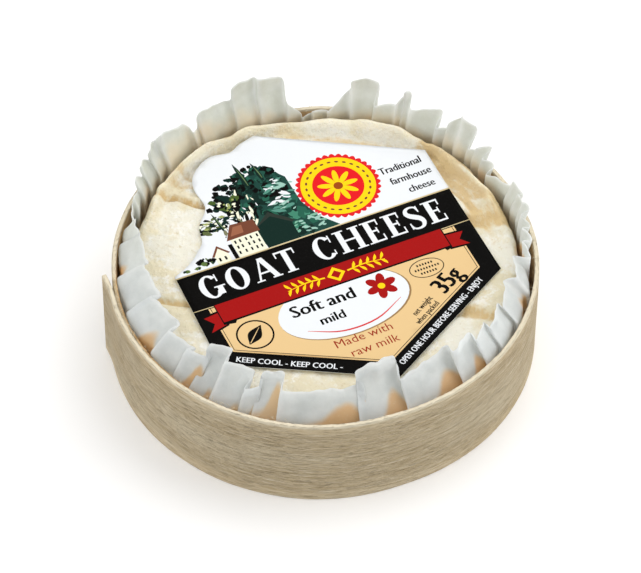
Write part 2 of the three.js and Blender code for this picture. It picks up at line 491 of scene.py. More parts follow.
# %% [markdown]
# The knife leaves the rim ragged: short fibres stand up along it. Each is a thin sliver of
# wood. Making them one by one would take hundreds of lines, so Geometry Nodes scatters one
# sliver along the rim with fixed seeds, turned and sized at random.

# %% Fibres along the rim
FIBRE_COUNT = 420
fibres = Recipe("rim_fibres")
count_in, length_in = fibres.given("Count", "NodeSocketInt"), fibres.given("Length")
line = fibres.node("GeometryNodeResampleCurve", None,
                   {"Curve": fibres.source(), "Count": count_in})
line = fibres.node("GeometryNodeCurveToPoints", {"mode": "EVALUATED"}, {"Curve": line})


def chance(tree, low, high, seed, kind="FLOAT"):
    """A random number, or vector, for each instance."""
    slots = (0, 1) if kind == "FLOAT_VECTOR" else (2, 3)
    made = tree.node("FunctionNodeRandomValue", {"data_type": kind},
                     {slots[0]: low, slots[1]: high, "Seed": seed})
    return made[0 if kind == "FLOAT_VECTOR" else 1]


spread = chance(fibres, (-0.25 * MM, -0.25 * MM, -0.1 * MM), (0.25 * MM, 0.25 * MM, 0.12 * MM),
                3, "FLOAT_VECTOR")
line = fibres.moved(line, Offset=spread)
sliver = fibres.node("GeometryNodeMeshCone", None,
                     {"Vertices": 4, "Side Segments": 2, "Radius Top": 0.01 * MM,
                      "Radius Bottom": 0.04 * MM, "Depth": length_in})
turn = fibres.node("FunctionNodeEulerToRotation", None,
                   {0: chance(fibres, (1.1, 0.0, 0.0), (1.9, 0.4, 6.28), 5, "FLOAT_VECTOR")})
scatter = fibres.node("GeometryNodeInstanceOnPoints", None,
                      {"Points": line, "Instance": sliver[0], "Rotation": turn,
                       "Scale": chance(fibres, 0.35, 1.3, 7)})
fibres.finish(scatter, band_finish)
rim_line = path_object("rim_line", ring_points(middle_ply, LAP_FROM + strip_along, BOX_HEIGHT))
rim_fibres = fibres.run(rim_line, "rim_fibres", Count=FIBRE_COUNT, Length=0.6 * MM)

# %% [markdown]
# ## The disc under the cheese
# A plain disc of the same veneer, pressed into the strip. It is turned from an outline whose
# edge is slightly rounded by the cutter.

# %% The disc
def turned(name, outline, columns, *materials):
    """A closed body turned from an outline of (radius, z), first and last points on the axis."""
    azimuth = np.arange(columns) * 360 / columns
    rows = [ring_points(r, azimuth, z) for r, z in outline[1:-1]]
    points = np.concatenate(rows + [[(0, 0, outline[0][1]), (0, 0, outline[-1][1])]])
    first, last, count = len(points) - 2, len(points) - 1, (len(rows) - 1) * columns
    caps = [(first, (i + 1) % columns, i) for i in range(columns)]
    caps += [(last, count + i, count + (i + 1) % columns) for i in range(columns)]
    return mesh_piece(name, points, grid_faces(len(rows), columns) + caps, *materials)


BASE_RADIUS, BASE_EDGE = BOX_INNER - FIT_GAP, 0.2
bevel = [(BASE_RADIUS - BASE_EDGE * (1 - math.sin(a)), BASE_EDGE * (1 - math.cos(a)))
         for a in np.linspace(0, math.pi / 2, 4)]
disc_outline = [(0, 0)] + [(r, 0) for r in np.arange(2, BASE_RADIUS - 1, 2)] + bevel
disc_outline += [(r, BASE_TOP - z) for r, z in reversed(disc_outline)]
disc = turned("veneer_disc", disc_outline, 180, disc_finish)
print(f"disc of {len(disc.data.polygons)} faces")

# %% [markdown]
# ## The cheese
# A fresh goat's cheese is soft: it sags in the middle, its shoulders are round, and it carries
# two creases from the rack it drained on. At the back the skin has been pushed up to a lip with
# a valley in front of it. All of that is one height over the disc. The wrinkled skin is noise in
# three sizes on top. Where the skin is folded it is tan, so the same sums leave a tint for the
# material.

# %% The cheese's shape
RACK_AZIMUTH = math.radians(-3.4)
RACK_LINES = [11.6, -9.4]
LIP_AZIMUTH = [2, 16, 30, 42, 50, 76, 86, 92, 99, 107, 115, 128, 140, 150, 157, 162, 166]
LIP_HEIGHT = [0, 1.3, 2.1, 2.7, 3.1, 3.0, 2.3, 1.9, 2.1, 3.2, 4.3, 4.9, 4.7, 3.6, 1.9, 0.4, 0]
FRONT_FROM, FRONT_TO = 195, 345
DISH = 0.45  # how far the cheese's middle has sunk


def arc_share(azimuth, low, high, ease=18):
    """1 inside an arc of azimuths, easing to 0 over some degrees at both ends."""
    azimuth = np.mod(azimuth, 360)
    return smooth(azimuth, low, low + ease) * smooth(azimuth, high, high - ease)


def lip_height(azimuth):
    """How far the skin is pushed up against the paper at the back."""
    wobble = 1 + 0.1 * np.sin(np.radians(azimuth * 17)) + 0.07 * np.sin(np.radians(azimuth * 29))
    return np.interp(np.mod(azimuth, 360), LIP_AZIMUTH, LIP_HEIGHT) * wobble


def lip_foot(azimuth):
    """How far in from the cheese's edge its lip starts to rise. It stays clear of the label."""
    foot = 3.3 - 1.7 * arc_share(azimuth, 92, 160, 12)
    return foot - 1.8 * np.exp(-((np.mod(azimuth, 360) - 54.5) / 8) ** 2)


def lip_rise(azimuth, inwards):
    """How high the lip stands at a distance in from the cheese's edge."""
    foot = lip_foot(azimuth)
    return lip_height(azimuth) * smooth(inwards, foot, np.maximum(foot - 2.5, 0.1))


def cheese_edge(azimuth):
    """The cheese's radius at its widest, and the size of its round shoulder."""
    front = arc_share(azimuth, FRONT_FROM, FRONT_TO, 30)
    wobble = 0.16 * np.sin(np.radians(azimuth * 5 + 20)) + 0.1 * np.sin(np.radians(azimuth * 11))
    return CHEESE_RADIUS + 0.1 - front * 0.6 + wobble * 0.5, 1.4 + front * 1.6


def hump(value, middle_at, width):
    """A bell about 1 high, width wide at half its height."""
    return np.exp(-((np.asarray(value) - middle_at) / (width * 0.6)) ** 2)


print(f"lip up to {max(LIP_HEIGHT)} mm high at the back")

# %% [markdown]
# Where the paper pressed on it the skin has folded. The folds are too irregular for a rule, so
# each is written down as a line over the cheese. The relief adds up the dish, the two rack
# creases, the folds, the lip and the rucks beside it, and keeps the tint in step.

# %% Folds and relief
FOLDS = [  # each a line of places over the cheese, then its depth, its tint and its width
    ([(-30.8, 14.8), (-25.2, 14.4), (-18, 12.2)], 1.1, 1.4, 0.9),
    ([(-28.4, 16.7), (-21, 17.3)], 0.35, 0.5, 0.8), ([(-27.1, 19), (-20.5, 19.3)], 0.35, 0.45, 0.8),
    ([(-27.1, 20.6), (-23, 23.6), (-19.2, 26), (-15.8, 27.4)], 0.5, 0.45, 0.9),
    ([(13.4, 29.2), (16.9, 27.6), (19.9, 25.4)], 0.4, 0.8, 1.2),
    ([(17.1, 25.5), (22.4, 21.3), (27.8, 15.8), (30.8, 11.4)], 0.7, 1.0, 1.5),
    ([(19.3, 21.6), (24.8, 15.1), (29.7, 11)], 0.5, 0.75, 1.1),
    ([(20.6, 17), (23.7, 13), (27.7, 11)], 0.35, 0.6, 0.9),
    ([(16, 10.8), (24.6, 9.7), (28.1, 9.2), (31, 9.8)], 0.8, 1.05, 1.9)]


def line_distance(x, y, line):
    """How far places are from a line of straight steps."""
    best = np.full(np.shape(x), 99.0)
    for (x0, y0), (x1, y1) in zip(line, line[1:]):
        dx, dy = x1 - x0, y1 - y0
        t = np.clip(((x - x0) * dx + (y - y0) * dy) / (dx * dx + dy * dy), 0, 1)
        best = np.minimum(best, np.hypot(x - x0 - t * dx, y - y0 - t * dy))
    return best


def cheese_relief(x, y):
    """Height above the cheese's top level, and how far the skin is creased, at places."""
    radius, azimuth = np.hypot(x, y), np.degrees(np.arctan2(y, x)) % 360
    inwards = cheese_edge(azimuth)[0] - radius
    height = -0.25 - DISH * (1 - smooth(radius, 2, 26))
    crease = np.zeros_like(radius)
    fold_side, far_side = smooth(x, 5, 20), smooth(x, -8, -16)
    for offset in RACK_LINES:
        own = 1 - smooth(np.abs(x), 15, 20) if offset > 0 else 1
        wander = 0.35 * np.sin(x * 0.23 + offset) + 0.2 * np.sin(x * 0.61)
        across = y - offset - x * math.tan(RACK_AZIMUTH) - wander
        groove = hump(across, 0, 1.5 - 0.5 * far_side)
        height -= own * (0.85 * groove - 0.12 * hump(across, -1.7, 1.4))
        tint_width = 1.9 + 0.7 * fold_side - 0.8 * far_side
        crease += own * (0.95 + 0.1 * fold_side) * hump(across, 0.1, tint_width)
    for line, deep, tint, width in FOLDS:
        away = line_distance(x + 0.45 * np.sin(y * 1.3), y + 0.35 * np.sin(x * 1.1), line)
        height = height - deep * hump(away, 0, width) + 0.3 * deep * hump(away, width, width)
        crease += tint * hump(away, 0, width * 1.25)
    lip = lip_height(azimuth)
    valley = np.clip(lip / 2, 0, 1)
    foot, climb = lip_foot(azimuth), lip_rise(azimuth, inwards)
    ruck = np.sin(inwards * 4.2 + 1.3 * np.sin(np.radians(azimuth * 5)) + azimuth * 0.05)
    height = height + climb + 0.08 * np.clip(climb, 0, 2) * ruck
    height -= valley * 0.35 * hump(inwards, foot + 0.7, 1.8)
    left_back = arc_share(azimuth, 100, 165, 10)
    crease += valley * (0.6 - 0.45 * left_back) * hump(inwards, foot + 0.5, 1.9)
    crease += valley * (0.3 - 0.2 * left_back) * smooth(inwards, 1.2, 0.2)
    fold = arc_share(azimuth, 8, 72, 16)
    for depth_in, strength in ((1.6, 0.4), (4.0, 0.35), (7.4, 0.3)):
        at = depth_in + 0.6 * np.sin(np.radians(azimuth * 9) + depth_in)
        height -= fold * 0.55 * strength * hump(inwards, at, 1.1)
        crease += fold * strength * 0.9 * hump(inwards, at, 1.6)
    left = arc_share(azimuth, 112, 164, 14)
    for depth_in in (5.4, 7.8, 10.4):
        at = depth_in + 0.6 * np.sin(np.radians(azimuth * 7) + depth_in)
        height -= left * 0.2 * hump(inwards, at, 1.0)
        crease += left * 0.1 * hump(inwards, at, 1.3)
    crease += 0.38 * hump(inwards, 0.2, 2.0)
    return height, np.clip(crease, 0, 1)


print(f"{len(RACK_LINES)} rack creases and {len(FOLDS)} folds")

# %% [markdown]
# The body is rings of points: from the middle of the top over the round shoulder, down the
# side, round the foot and in to the middle below. The relief shapes the top and fades over the
# shoulder, and the wrinkles move each point the way its surface faces.

# %% The cheese's rings
CHEESE_COLUMNS = 440
column_azimuth = np.arange(CHEESE_COLUMNS) * 360 / CHEESE_COLUMNS
widest, shoulder_size = cheese_edge(column_azimuth)
TOP_ROWS, ROUND_ROWS, SIDE_ROWS, FOOT_ROWS, UNDER_ROWS = 76, 9, 24, 8, 30
FOOT_ROUND, SIDE_TAPER = 1.6, 0.3
cheese_rows, cheese_tints, outwards_share = [], [], []


def add_cheese_row(radius, height, tint, outward):
    """Adds one ring of points, with its tint and how far its surface faces outwards."""
    cheese_rows.append(ring_points(radius, column_azimuth, height))
    cheese_tints.append(np.broadcast_to(tint, CHEESE_COLUMNS))
    outwards_share.append(np.full(CHEESE_COLUMNS, outward))


for share in np.linspace(0.008, 1, TOP_ROWS):
    radius = share * (widest - shoulder_size)
    spot = ring_points(radius, column_azimuth, 0)
    relief, tint = cheese_relief(spot[:, 0], spot[:, 1])
    add_cheese_row(radius, CHEESE_TOP + relief, tint, 0)
for angle in np.linspace(0, math.pi / 2, ROUND_ROWS)[1:]:
    radius = widest - shoulder_size * (1 - math.sin(angle))
    spot = ring_points(radius, column_azimuth, 0)
    relief, tint = cheese_relief(spot[:, 0], spot[:, 1])
    drop = shoulder_size * (1 - math.cos(angle))
    add_cheese_row(radius, CHEESE_TOP + relief * (1 - angle / math.pi * 1.2) - drop, tint,
                   math.sin(angle))
side_top = cheese_rows[-1][:, 2]
side_foot = CHEESE_FOOT + FOOT_ROUND
for share in np.linspace(0, 1, SIDE_ROWS)[1:]:
    add_cheese_row(widest - SIDE_TAPER * share, side_top + (side_foot - side_top) * share, 0.35, 1)
for angle in np.linspace(0, math.pi / 2, FOOT_ROWS)[1:]:
    radius = widest - SIDE_TAPER - FOOT_ROUND * (1 - math.cos(angle))
    add_cheese_row(radius, side_foot - FOOT_ROUND * math.sin(angle), 0.4, math.cos(angle))
for share in np.linspace(1, 0.02, UNDER_ROWS)[1:]:
    add_cheese_row(share * (widest - SIDE_TAPER - FOOT_ROUND), CHEESE_FOOT, 0.3, 0)

cheese_points = np.concatenate(cheese_rows)
cheese_tint = np.concatenate(cheese_tints)
outward = np.concatenate(outwards_share)
wrinkle = 0.17 * grain(cheese_points, 3.2, 1) + 0.11 * grain(cheese_points, 1.3, 2)
wrinkle += 0.05 * grain(cheese_points, 0.7, 3)
foot_still = smooth(cheese_points[:, 2], CHEESE_FOOT + 0.05, CHEESE_FOOT + 0.6)
radial = cheese_points[:, :2] / np.hypot(cheese_points[:, 0], cheese_points[:, 1])[:, None]
cheese_points[:, :2] += radial * (wrinkle * outward * foot_still)[:, None]
cheese_points[:, 2] += wrinkle * (1 - outward) * foot_still
row_count = len(cheese_rows)
poles = [(0, 0, cheese_rows[0][:, 2].mean()), (0, 0, CHEESE_FOOT)]
first, last = len(cheese_points), len(cheese_points) + 1
bottom_row = (row_count - 1) * CHEESE_COLUMNS
faces = [(b, a, d, c) for a, b, c, d in grid_faces(row_count, CHEESE_COLUMNS)]
for i in range(CHEESE_COLUMNS):
    j = (i + 1) % CHEESE_COLUMNS
    faces += [(first, i, j), (last, bottom_row + j, bottom_row + i)]
cheese_points = np.concatenate([cheese_points, poles])
print(f"cheese of {len(faces)} faces, top at {cheese_points[:, 2].max():.2f} mm")

# %% [markdown]
# The rind is ivory with a thin white bloom, tan in the folds where the skin is moist. Blotches
# of both break it up. Light enters soft cheese, so the surface scatters a little light below
# the skin, and the creases shine more than the bloom.

# %% The rind's finish
f = Finish("young_rind")
crease = f.stored("crease")
blotch = f.noise(f.place, 0.16, 4, 0.6)
speckle = f.noise(f.place, 0.9, 4, 0.65)
bloom = f.noise(f.place, 0.38, 5, 0.7)
skin = f.mix(rgb(234, 224, 194), rgb(239, 235, 219), blotch.between(0.42, 0.58))
skin = f.mix(skin, rgb(208, 186, 140), speckle.between(0.56, 0.72) * 0.45)
skin = f.mix(skin, rgb(250, 249, 243), bloom.between(0.5, 0.64) * (1 - crease) * 0.7)
angle, radius = f.around()
streak = f.noise(f.xyz(angle * 7, radius * 0.85, f.z * 0.3), 1, 4, 0.6).between(0.34, 0.6)
moist = crease * (streak * 0.7 + 0.5) + (speckle - 0.5) * 0.6 + (blotch - 0.5) * 0.3
moist = moist.between(0.22, 0.95)
skin = f.mix(skin, rgb(224, 194, 136), moist * 0.85)
side = f.z.between(CHEESE_TOP - 1.5, CHEESE_TOP - 5.5)
skin = f.mix(skin, rgb(214, 180, 122), side * 0.65)
# Painted light: the skin above the top level is made paler to lift the shade on the lip, a painted
# highlight.
painted_lip_light = f.z.between(CHEESE_TOP + 0.4, CHEESE_TOP + 2.2) * (0.8 - streak * 0.45)
skin = f.mix(skin, rgb(253, 243, 212), painted_lip_light)
skin_height = f.noise(f.place, 1.5, 5, 0.7) + f.noise(f.place, 0.5, 3, 0.6) * 1.2
cheese_finish = f.done(f.surface({
    "Base Color": skin, "Roughness": 0.62 - moist * 0.28, "Subsurface Weight": 0.1,
    "Subsurface Radius": (1.0, 0.8, 0.55), "Subsurface Scale": 0.0012,
    "Normal": f.bump(skin_height, 0.4, 1.0)}))

cheese = mesh_piece("soft_cheese", cheese_points, faces, cheese_finish)
note(cheese, "crease", np.concatenate([cheese_tint, cheese_tint[:1], [0.3]]))

# %% [markdown]
# ## The paper cup
# A disc of greaseproof paper pressed up between the cheese and the box takes the slack in knife
# pleats: wide flaps that each overlap the next, with a narrow return fold between. No two are
# alike, so each flap is written down: where it starts and ends round the cup, how far its two
# corners stand above the box's rim, and how far it leans out or in.

# %% The flaps
FLAPS = [
    (-12, -2.5, 3.0, 3.3, -1.7), (-3.2, 3, 2.6, 3.0, 0.1), (2.5, 8, 2.8, 3.3, 0.5),
    (7.5, 12.5, 3.0, 3.8, 0.7),
    (12, 15.5, 4.6, 5.0, 0.9), (15, 20, 2.6, 4.0, 1.2), (19, 24.5, 3.0, 4.6, 1.5),
    (23.5, 35, 2.4, 0.9, 1.7), (34, 38.5, 2.0, 2.4, 1.6), (37.2, 42, 4.4, 3.2, 1.7),
    (41, 44.6, 2.4, 2.2, 1.6), (44, 49, 5.4, 7.0, 1.8), (49.5, 53.2, 5.5, 4.0, 1.9),
    (52, 56.5, 2.2, 2.6, 1.6), (55.5, 65.5, 5.0, 3.6, 1.7), (65.8, 67.5, 6.0, 6.8, 1.9),
    (67.3, 69.5, 4.8, 4.0, 1.7), (69.3, 76.3, 2.9, 2.9, 1.7), (74.6, 82.8, 6.3, 7.4, 2.0),
    (82.5, 89.5, 4.2, 1.2, 1.3), (88.8, 94, 0.5, 1.8, 0.9), (93.6, 97, 0.3, 0.0, 0.6),
    (96.5, 101.5, 0.0, 3.2, 1.3), (100.8, 109.3, 6.5, 9.0, 2.1),
    (108.6, 117.2, 7.8, 8.8, 2.1), (115.6, 128.2, 4.4, 6.6, 2.0),
    (127.4, 131, 2.6, 3.4, 1.7), (129.8, 142.8, 3.3, 7.8, 2.0), (141.8, 147.6, 5.0, 6.8, 2.0),
    (145.8, 152.6, 3.0, 6.3, 1.9), (150.8, 156.8, 2.3, 5.2, 1.7), (155.6, 161.5, 1.6, 3.4, 1.2),
    (160.5, 168, 1.8, 2.5, 0.1), (167, 175, 2.6, 2.8, -1.6), (173, 186, 2.8, 2.6, -2.8),
    (185, 201, 2.6, 2.4, -3.4), (198, 215, 2.4, 2.6, -3.4), (214, 225, 2.6, 1.6, -2.8),
    (223, 232, 2.4, 2.2, -2.6), (229, 237, 4.6, 3.6, -4.4), (236, 247, 2.8, 2.4, -3.8),
    (245, 251, 1.2, 1.6, -2.4), (249, 257, 3.4, 2.6, -4.2), (256, 283, 1.9, 2.1, -3.0),
    (279, 295, 5.0, 4.8, -4.4), (293, 314, 2.2, 2.6, -3.4), (311, 322, 4.4, 3.4, -2.4),
    (320, 328, 3.0, 3.6, -2.0), (326.5, 338, 3.2, 2.6, -1.9), (336, 347.5, 2.6, 2.8, -2.2)]
PAPER_MIDDLE = (BOX_INNER + CHEESE_RADIUS) / 2
PLEAT_FOOT, PLEAT_RIM, PLEAT_TOP = 0.35, 0.7, 0.9
FACET_STEP = 0.5
CUP_FLOOR = CHEESE_FOOT - FIT_GAP
paper_random = np.random.default_rng(11)


def pleat_columns():
    """For each column of the sheet: azimuth, fold depth -1..1, rise, lean, flap and edge."""
    found, corners = [], []
    for number, (start, end, rise_from, rise_to, lean) in enumerate(FLAPS):
        corners.append((start, 1, rise_from, lean, number))
        corners.append((end, -1, rise_to, lean, number))
    first = corners[0]
    corners.append((first[0] + 360,) + first[1:])
    for a, b in zip(corners, corners[1:]):
        length = math.hypot(math.radians(b[0] - a[0]) * PAPER_MIDDLE, 2 * PLEAT_RIM)
        steps = max(3, round(length / FACET_STEP))
        for share in np.arange(steps) / steps:
            row = [a[k] + (b[k] - a[k]) * share for k in range(4)]
            found.append(row + [a[4], 1 - min(share, 1 - share) * length / 1.2])
    return np.array(found)


columns = pleat_columns()
fold_azimuth, fold_depth, rise, lean, flap_number, fold_edge = columns.T
COLUMNS = len(columns)


def eased(values, passes, lap=0):
    """Values along the sheet's edge with their corners rounded. lap is their gain each round."""
    for _ in range(passes):
        before, after = np.roll(values, 1), np.roll(values, -1)
        before[0] -= lap
        after[-1] += lap
        values = (before + 2 * values + after) / 4
    return values


rise, lean = eased(rise, 2), eased(lean, 4)
fold_azimuth, fold_depth = eased(fold_azimuth, 2, 360), eased(fold_depth, 2)
rise = rise + 0.14 * np.sin(np.radians(fold_azimuth * 23)) - 0.2 * np.clip(fold_edge, 0, 1)
rise = rise + 0.1 * np.sin(np.radians(fold_azimuth * 61))
print(f"paper cup: {len(FLAPS)} flaps in {COLUMNS} columns")

# %% [markdown]
# From the floor of the cup the wall rises in rows of points. Each row takes the folds, deeper
# towards the edge, swings out or in as its flap leans, and stays clear of the box and the
# cheese. The floor and the bend below the wall close the cup.

# %% The sheet between its folds
WALL_ROWS, FLOOR_ROWS, BEND_ROWS = 52, 16, 5
BEND = 1.2
PAPER_GAP = 0.22  # what the paper's middle keeps clear of the box and the cheese


def cheese_side(azimuth, z):
    """How far out the cheese reaches at a height."""
    edge, shoulder = cheese_edge(azimuth)
    crown = CHEESE_TOP + lip_height(azimuth)
    above = np.clip(z - (crown - shoulder + 0.1), 0, shoulder)
    reach = edge - shoulder + np.sqrt(np.maximum(shoulder ** 2 - above ** 2, 0))
    return np.where(z < crown + 0.5, reach, 0)


wall_foot = CUP_FLOOR + BEND
top_z = BOX_HEIGHT + rise
lean_from = 14.5 + 2.3 * (1 - arc_share(fold_azimuth, 212, 326, 14))
paper_rows = []
for share in np.linspace(0, 1, WALL_ROWS):
    z = wall_foot + (top_z - wall_foot) * share
    depth = PLEAT_FOOT + (PLEAT_RIM - PLEAT_FOOT) * smooth(z, 3, 16)
    depth = depth + (PLEAT_TOP - PLEAT_RIM) * smooth(z, 18, 22)
    out = np.maximum(lean, 0) * smooth(z, BOX_HEIGHT - 0.3, BOX_HEIGHT + 5) * 1.15
    inn = np.minimum(lean, 0) * smooth(z, lean_from, BOX_HEIGHT + 2.7) * 1.2
    inn = inn + 0.22 * np.minimum(lean, 0) * smooth(z, top_z - 0.8, top_z)
    soft_fold = 0.6 * np.sin(np.radians(fold_azimuth * 47) + flap_number * 2.1)
    soft_fold = (soft_fold + 0.4 * np.sin(np.radians(fold_azimuth * 83))) * smooth(z, 12, 23)
    to_wall = 0.7 * smooth(-lean, 0.5, 2) * smooth(z, 6, 15)
    radius = PAPER_MIDDLE + depth * fold_depth + out + inn + 0.2 * soft_fold + to_wall
    radius = np.where(z < BOX_HEIGHT + 0.4, np.minimum(radius, BOX_INNER - PAPER_GAP), radius)
    radius = np.maximum(radius, cheese_side(fold_azimuth, z) + PAPER_GAP)
    paper_rows.append(ring_points(radius, fold_azimuth, z))
wall_start = np.hypot(paper_rows[0][:, 0], paper_rows[0][:, 1])
bend_rows = []
for angle in np.linspace(0, math.pi / 2, BEND_ROWS + 1)[:-1]:
    radius = wall_start - BEND * (1 - math.sin(angle))
    bend_rows.append(ring_points(radius, fold_azimuth, wall_foot - BEND * math.cos(angle)))
floor_rows = [ring_points(share * (wall_start - BEND), fold_azimuth, CUP_FLOOR)
              for share in np.linspace(0.03, 1, FLOOR_ROWS)[:-1]]
low_rows = floor_rows + bend_rows
paper_points = np.concatenate(low_rows + paper_rows + [[(0, 0, CUP_FLOOR)]])
row_count = len(low_rows) + WALL_ROWS
centre = len(paper_points) - 1
faces = [(b, a, d, c) for a, b, c, d in grid_faces(row_count, COLUMNS)]
faces += [(centre, i, (i + 1) % COLUMNS) for i in range(COLUMNS)]
print(f"sheet of {len(faces)} faces, {top_z.max():.1f} mm high")

# %% [markdown]
# Fat from the cheese soaks the paper where they touch, and the wood shows through it there. The
# soaked part ends in a lobe on most flaps, and reaches higher at the back, where the cheese
# does. These sums leave the share of warm colour on each point.

# %% Where the paper is soaked
flap_choice = np.where(paper_random.random(len(FLAPS)) < 0.3, -2.6, 0.2)
flap_choice = flap_choice + paper_random.uniform(-0.5, 0.6, len(FLAPS))
at_back = arc_share(fold_azimuth, 5, 168, 15)
lobe = 3.4 * hump((1 - fold_depth) / 2, 0.75, 0.42) - 1.9
flap_warmth = (flap_choice[flap_number.astype(int)] * (1 - 0.65 * at_back)
               + lobe * (1 - 0.8 * at_back) + lip_height(fold_azimuth) * 0.9
               - 1.3 * (1 - arc_share(fold_azimuth, 215, 335, 15))
               + 1.0 * arc_share(fold_azimuth, 20, 165, 20)
               - 1.4 * arc_share(fold_azimuth, 256, 350, 25))
flap_depth = paper_random.uniform(0.45, 1.0, len(FLAPS))[flap_number.astype(int)]
flap_depth = flap_depth ** (1 + 3 * at_back)
height = paper_points[:-1, 2].reshape(row_count, COLUMNS)
warm = smooth(height, BOX_HEIGHT + flap_warmth + 0.9 + at_back,
              BOX_HEIGHT + flap_warmth - 1.7 - at_back) * (1 - 0.5 * at_back)
# A painted highlight along the cut top edge of the sheet.
painted_rim_highlight = smooth(height, top_z - 0.45, top_z - 0.05)
print(f"{np.mean(warm > 0.5):.0%} of the sheet is soaked")

# %% [markdown]
# The sheet lets light through: what stands above the box is cool and milky, what touches the
# cheese or the wood shows their warm colour through it. The sheet is painted greyer towards the
# back and lighter towards the front, as painted shade, and its folds and cut top edge are painted
# whiter, as painted highlights. The material mixes an opaque and a see-through part.

# %% The paper's finish
f = Finish("pressed_paper")
warm_share, deep_share, painted_edge_highlight = f.stored("warm"), f.stored("deep"), f.stored("bright")
cloud = f.noise(f.place, 0.3, 4, 0.6)
fibre = f.noise(f.place, 2.2, 3, 0.6)
# Painted shade: the sheet is greyer towards the back and lighter and cooler towards the front.
back_shade_share = f.y.between(-8, 14)
front_lit_sheet = f.mix(rgb(226, 230, 230), rgb(240, 243, 243), cloud.between(0.25, 0.75))
back_shaded_sheet = f.mix(rgb(222, 224, 215), rgb(234, 236, 231), cloud.between(0.25, 0.75))
sheet = f.mix(front_lit_sheet, back_shaded_sheet, back_shade_share)
soaked = f.mix(rgb(244, 230, 200), rgb(238, 204, 150), deep_share)
sheet = f.mix(sheet, soaked, (warm_share + (cloud - 0.5) * 0.5).between(0.15, 0.85) * 0.9)
# Painted highlight: the folds and the cut top edge are made whiter.
sheet = f.mix(sheet, rgb(254, 255, 255), painted_edge_highlight * 0.7)
sheet = f.mix(sheet, rgb(250, 250, 248), fibre.between(0.55, 0.75) * 0.2)
normal = f.bump(cloud + fibre * 0.15, 0.25, 0.35)
paint = {"Base Color": sheet, "Roughness": 0.5, "Specular IOR Level": 0.35, "Normal": normal}
glow = f.node("ShaderNodeBsdfTranslucent", None, {"Color": sheet, "Normal": normal})
paper_finish = f.done(f.node("ShaderNodeMixShader", None, {0: 0.52, 1: f.surface(paint), 2: glow}))

# %% [markdown]
# Paper that has been handled is never flat. A small Geometry Nodes tree crumples the sheet
# along its normals in two sizes, and a Solidify modifier gives it its tenth of a millimetre.

# %% Crumple the cup
PAPER_THICK = 0.1
paper_sheet = mesh_piece("paper_sheet", paper_points, faces, paper_finish)
note(paper_sheet, "warm", np.append(warm, 1))
note(paper_sheet, "deep", np.append(np.tile(flap_depth, row_count), 0.5))
# Painted highlights along the folds and the top edge, stored for the material.
painted_fold_highlight = np.clip(np.tile(fold_edge, row_count).reshape(row_count, COLUMNS) * 0.8, 0, 1)
note(paper_sheet, "bright", np.append(np.maximum(painted_fold_highlight * (1 - warm), painted_rim_highlight), 0))
crumple = Recipe("crumpled_paper")
large_in, small_in = crumple.given("Large"), crumple.given("Small")
mm_place = crumple.in_mm(crumple.node("GeometryNodeInputPosition"))
large = (crumple.noise(mm_place, 0.28, 1) - 0.5) * large_in
small = (crumple.noise(mm_place, 1.1, 2) - 0.5) * small_in
shift = crumple.scaled(crumple.node("GeometryNodeInputNormal"), large + small)
crumple.finish(crumple.moved(crumple.source(), Offset=shift), paper_finish)
thickness = paper_sheet.modifiers.new("thickness", "SOLIDIFY")
thickness.thickness, thickness.offset = PAPER_THICK * MM, 0
paper = crumple.run(paper_sheet, "pleated_cup", Large=0.4 * MM, Small=0.14 * MM)

# %% [markdown]
# ## The printed label
# The label is one sheet of coated paper with flat inks. An image would blur, so the print is
# geometry: every shape that is printed is a closed outline, laid down in order like inks on a
# press. All outlines are cut into one fine mesh of triangles, and each triangle's corners take
# the colour of the last shape that covers it. U runs along the title, V up the sheet.

# %% Drawing outlines
LABEL_RADIUS = 28.6
LABEL_TURN = math.radians(24.5)
LABEL_SHIFT = 1.4
WAVY_SIDE = [(-0.84, 0.2), (-0.72, 0.26), (-0.63, 0.34), (-0.59, 0.39), (-0.56, 0.5),
             (-0.47, 0.62), (-0.475, 0.76), (-0.45, 0.85), (-0.37, 0.925), (-0.29, 0.955),
             (-0.18, 0.94), (-0.1, 0.975), (0, 1)]
print_random = np.random.default_rng(35)
inks = []  # each is (the edges round its shapes, colour), the first laid down first


def edges_of(*outlines):
    """Each edge of closed outlines, as its two ends."""
    rings = [np.asarray(o, float) for o in outlines]
    return np.concatenate([np.stack([ring, np.roll(ring, -1, 0)], 1) for ring in rings])


def ink(colour, *outlines):
    """Prints the area inside the outlines. An outline inside another cuts a hole."""
    inks.append((edges_of(*outlines), colour))


def oval(u, v, wide, high=None, count=36, turn=0.0):
    """A round, or an oval turned by some degrees."""
    a = np.arange(count) * 2 * math.pi / count
    return turned_about(np.c_[u + wide * np.cos(a), v + (high or wide) * np.sin(a)], u, v, turn)


def turned_about(points, u, v, degrees):
    """Points turned about (u, v)."""
    a = math.radians(degrees)
    away = np.asarray(points, float) - [u, v]
    turn = np.array([[math.cos(a), math.sin(a)], [-math.sin(a), math.cos(a)]])
    return away @ turn + [u, v]


def stroke(points, widths, smooth_steps=5):
    """The outline of a brush line through points, with a width at each of them."""
    points = np.asarray(points, float)
    widths = np.broadcast_to(np.asarray(widths, float), len(points))
    both = np.c_[points, widths]
    padded = np.vstack([2 * both[0] - both[1], both, 2 * both[-1] - both[-2]])
    line = []
    for a, b, c, d in zip(padded, padded[1:], padded[2:], padded[3:]):
        for t in np.arange(smooth_steps) / smooth_steps:
            line.append(0.5 * (2 * b + (c - a) * t + (2 * a - 5 * b + 4 * c - d) * t * t
                               + (3 * b - a - 3 * c + d) * t ** 3))
    line = np.array(line + [both[-1]])
    run = np.gradient(line[:, :2], axis=0)
    side = np.c_[-run[:, 1], run[:, 0]] / np.maximum(np.hypot(*run.T), 1e-9)[:, None]
    half = line[:, 2:3] / 2
    return np.vstack([line[:, :2] + side * half, (line[:, :2] - side * half)[::-1]])


